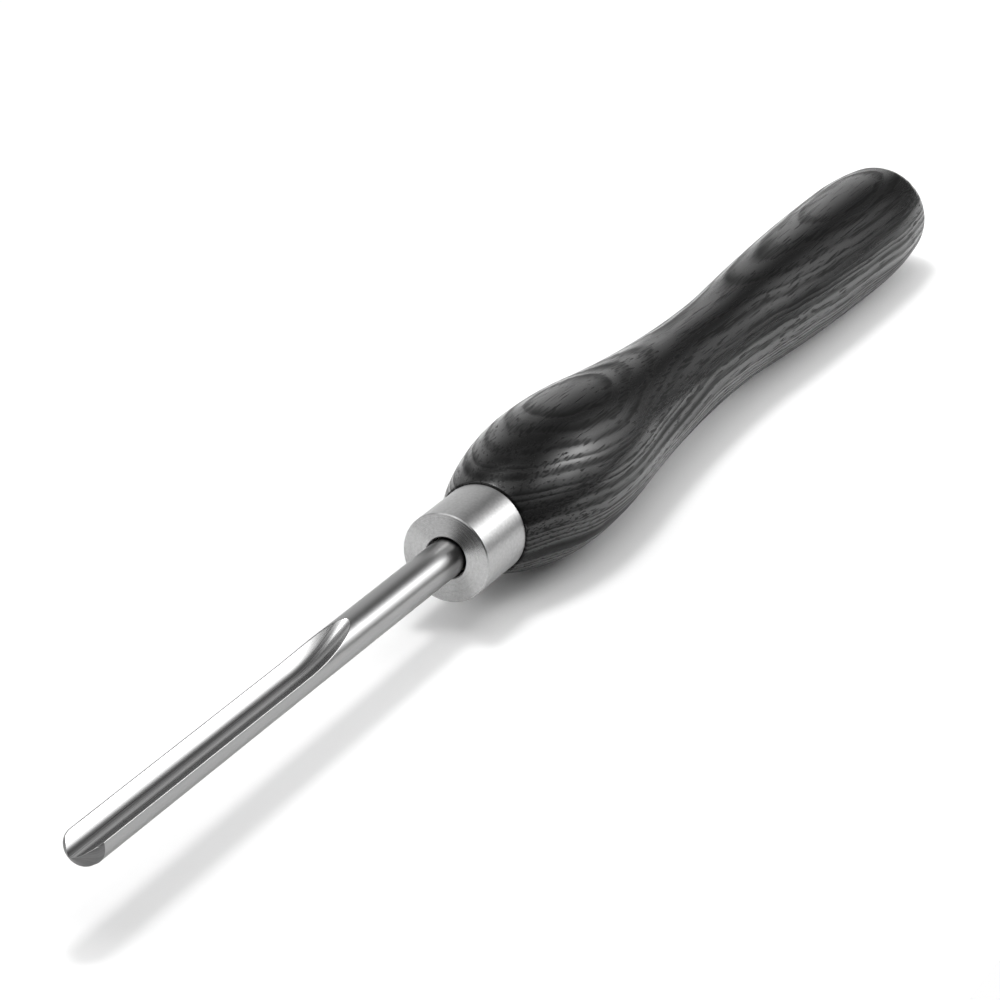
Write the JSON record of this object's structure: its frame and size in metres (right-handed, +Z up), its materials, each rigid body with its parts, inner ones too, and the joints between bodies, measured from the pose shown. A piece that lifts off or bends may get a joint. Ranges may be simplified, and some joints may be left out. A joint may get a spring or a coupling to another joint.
{
  "type": "spindle_gouge",
  "caption": "Spindle gouge for woodturning: a round steel bar with a milled flute and a ground bevel, a plain metal ferrule and a turned black-stained ash handle",
  "frame": {"origin": "on the tool's axis, in the plane of the ferrule's front face", "axes": "+X along the axis to the cutting edge, +Z up as the tool lies with its flute upward, +Y to the left of +X"},
  "size_m": [0.4661, 0.0402, 0.0402],
  "materials": {
    "tool_steel": "ground and polished high-speed steel",
    "ferrule_metal": "fine-turned, satin",
    "stained_ash": "black-stained open-grained ash under satin lacquer",
    "adhesive": "cured two-part adhesive"
  },
  "bodies": {
    "root": {"blade": "tool_steel", "ferrule": "ferrule_metal", "handle": "stained_ash", "tang_adhesive": "adhesive"}
  },
  "joints": []
}
